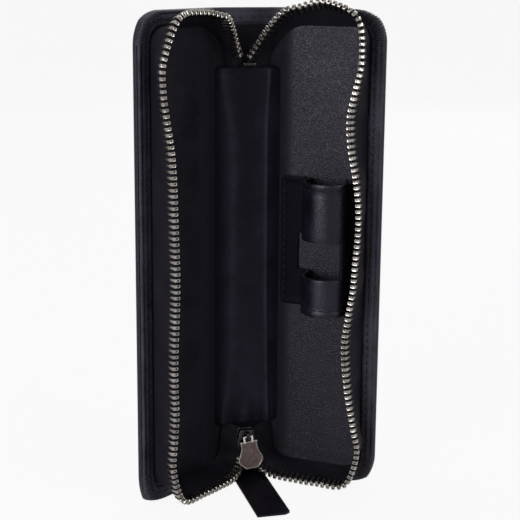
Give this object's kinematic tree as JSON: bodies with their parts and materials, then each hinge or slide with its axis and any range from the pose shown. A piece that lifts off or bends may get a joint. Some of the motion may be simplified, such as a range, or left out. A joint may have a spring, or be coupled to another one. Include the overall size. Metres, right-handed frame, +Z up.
{
  "type": "fountain pen case",
  "caption": "Slim zip-round leather pen case standing open in a V, with a padded spine, a windowed pen loop, metal zip rows, a slider with its puller and a grip tab.",
  "frame": {"origin": "on the floor, midway between the two cover folds, in the plane of the fold lines", "axes": "+Z up along the spine, -Y out of the open V, +X towards the cover with the pen loop"},
  "size_m": [0.0864, 0.0426, 0.1704],
  "materials": {
    "grained_leather": "fine pebble grain, low sheen",
    "lining_leather": "smooth, low sheen",
    "stiffener": "matte",
    "woven_tape": "twill weave",
    "zip_metal": "bright plated"
  },
  "bodies": {
    "spine": {"spine_leather": "grained_leather", "spine_board": "stiffener", "spine_lining": "lining_leather", "zip_top_stop": "zip_metal"},
    "left_cover": {"left_cover_leather": "grained_leather", "left_cover_board": "stiffener", "left_cover_lining": "lining_leather", "left_zip_tape": "woven_tape", "left_zip_teeth": "zip_metal", "left_tape_ends": "woven_tape", "left_end_teeth": "zip_metal"},
    "right_cover": {"right_cover_leather": "grained_leather", "right_cover_board": "stiffener", "right_cover_lining": "lining_leather", "right_zip_tape": "woven_tape", "right_zip_teeth": "zip_metal", "right_tape_ends": "woven_tape", "right_end_teeth": "zip_metal", "pen_loop": "grained_leather"},
    "slider": {"slider_body": "zip_metal", "slider_bridge": "zip_metal"},
    "puller": {"zip_puller": "zip_metal"},
    "tab": {"grip_tab": "grained_leather"}
  },
  "joints": [
    {"name": "left_cover_hinge", "type": "hinge", "parent": "spine", "child": "left_cover", "pos_m": [-0.01135, 0, 0], "axis": [0, 0, 1], "range_deg": [-35.6, 54.4], "deforming": ["left_zip_tape", "left_zip_teeth", "left_tape_ends", "left_end_teeth"]},
    {"name": "right_cover_hinge", "type": "hinge", "parent": "spine", "child": "right_cover", "pos_m": [0.01135, 0, 0], "axis": [0, 0, -1], "range_deg": [-35.6, 54.4], "deforming": ["right_zip_tape", "right_zip_teeth", "right_tape_ends", "right_end_teeth"]},
    {"name": "slider_travel", "type": "slide", "parent": "spine", "child": "slider", "axis": [0, 0, -1], "range_m": [0, 0.0025], "deforming": ["left_tape_ends", "left_end_teeth", "right_tape_ends", "right_end_teeth"]},
    {"name": "puller_swing", "type": "hinge", "parent": "slider", "child": "puller", "pos_m": [0, -0.009, 0.0167], "axis": [-1, 0, 0], "range_deg": [0, 110]},
    {"name": "tab_flex", "type": "hinge", "parent": "spine", "child": "tab", "pos_m": [0, -0.0004, 0.00065], "axis": [-1, 0, 0], "range_deg": [-90, 5]}
  ]
}
